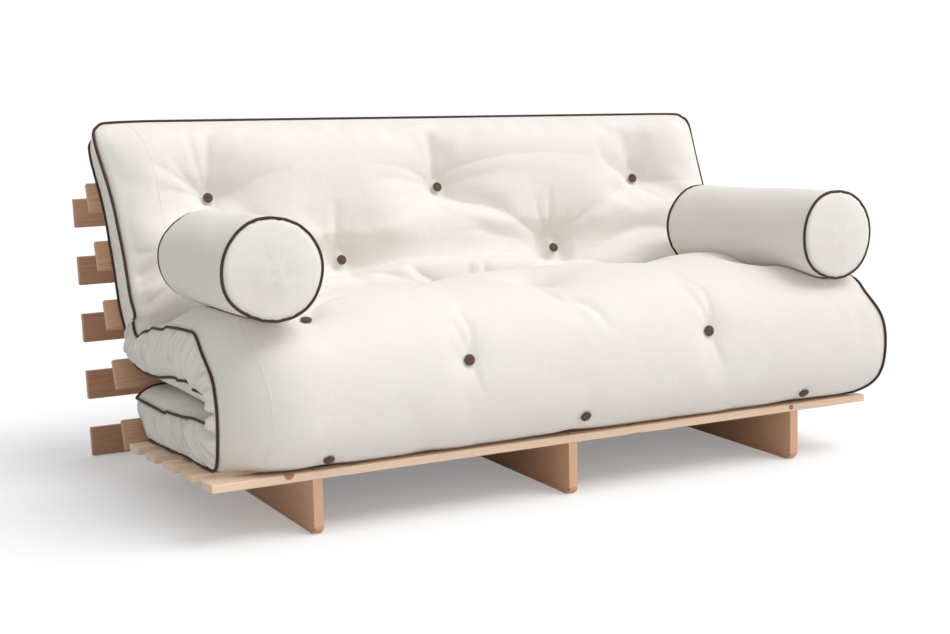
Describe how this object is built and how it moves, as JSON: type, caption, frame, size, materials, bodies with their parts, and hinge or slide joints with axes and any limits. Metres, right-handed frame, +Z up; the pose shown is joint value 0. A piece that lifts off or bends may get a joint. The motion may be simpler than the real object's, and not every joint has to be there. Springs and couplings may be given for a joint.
{
  "type": "futon sofa bed",
  "caption": "Slatted wooden sofa bed in three hinged sections with a folded, button-tufted futon and two piped bolsters; the back folds down flat to make a bed.",
  "frame": {"origin": "on the floor, under the middle of the whole sofa", "axes": "+X along the slats (to the right for someone facing the sofa), +Y from the front of the seat to the back, +Z up"},
  "size_m": [1.7, 1.0942, 0.8527],
  "materials": {
    "pine": "satin, eased edges, clear lacquer",
    "screw_steel": "yellow-zinc plated",
    "hinge_steel": "zinc plated",
    "cotton": "natural woven cotton",
    "filling": "cotton and foam layers",
    "piping": "dark brown covered cord",
    "button": "dark brown covered button",
    "thread": "waxed tufting twine"
  },
  "bodies": {
    "seat_frame": {"futon_seat_buttons": "button", "futon_seat_cover": "cotton", "futon_seat_filling": "filling", "futon_seat_piping": "piping", "futon_seat_threads": "thread", "futon_under_buttons": "button", "futon_under_cover": "cotton", "futon_under_filling": "filling", "futon_under_piping": "piping", "futon_under_threads": "thread", "lower_hinge_bolts": "hinge_steel", "lower_hinge_nuts": "hinge_steel", "lower_hinge_washers": "hinge_steel", "seat_board_left": "pine", "seat_board_middle": "pine", "seat_board_right": "pine", "seat_screws": "screw_steel", "seat_slat_1": "pine", "seat_slat_2": "pine", "seat_slat_3": "pine", "seat_slat_4": "pine", "seat_slat_5": "pine"},
    "back_frame": {"back_board_left": "pine", "back_board_middle": "pine", "back_board_right": "pine", "back_screws": "screw_steel", "back_slat_1": "pine", "back_slat_2": "pine", "back_slat_3": "pine", "back_slat_4": "pine", "back_slat_5": "pine", "futon_back_buttons": "button", "futon_back_cover": "cotton", "futon_back_filling": "filling", "futon_back_piping": "piping", "futon_back_threads": "thread", "upper_hinge_bolts": "hinge_steel", "upper_hinge_nuts": "hinge_steel", "upper_hinge_washers": "hinge_steel"},
    "rear_frame": {"rear_board_left": "pine", "rear_board_middle": "pine", "rear_board_right": "pine", "rear_screws": "screw_steel", "rear_slat_1": "pine", "rear_slat_2": "pine", "rear_slat_3": "pine", "rear_slat_4": "pine", "rear_slat_5": "pine"},
    "bolster_left": {"bolster_left_cover": "cotton", "bolster_left_filling": "filling", "bolster_left_piping": "piping"},
    "bolster_right": {"bolster_right_cover": "cotton", "bolster_right_filling": "filling", "bolster_right_piping": "piping"}
  },
  "joints": [
    {"name": "back_recline", "type": "hinge", "parent": "seat_frame", "child": "back_frame", "pos_m": [0, 0.18793, 0.063], "axis": [-1, 0, 0], "range_deg": [0, 69.2]},
    {"name": "rear_unfold", "type": "hinge", "parent": "back_frame", "child": "rear_frame", "pos_m": [0, 0.47345, 0.70762], "axis": [1, 0, 0], "range_deg": [0, 163.3]},
    {"name": "bolster_left_lift", "type": "slide", "parent": "seat_frame", "child": "bolster_left", "axis": [0, 0, 1], "range_m": [0, 0.35]},
    {"name": "bolster_right_lift", "type": "slide", "parent": "seat_frame", "child": "bolster_right", "axis": [0, 0, 1], "range_m": [0, 0.35]}
  ],
  "couplings": [
    {"joint": "rear_unfold", "follows": "back_recline", "ratio": 2.3598}
  ]
}
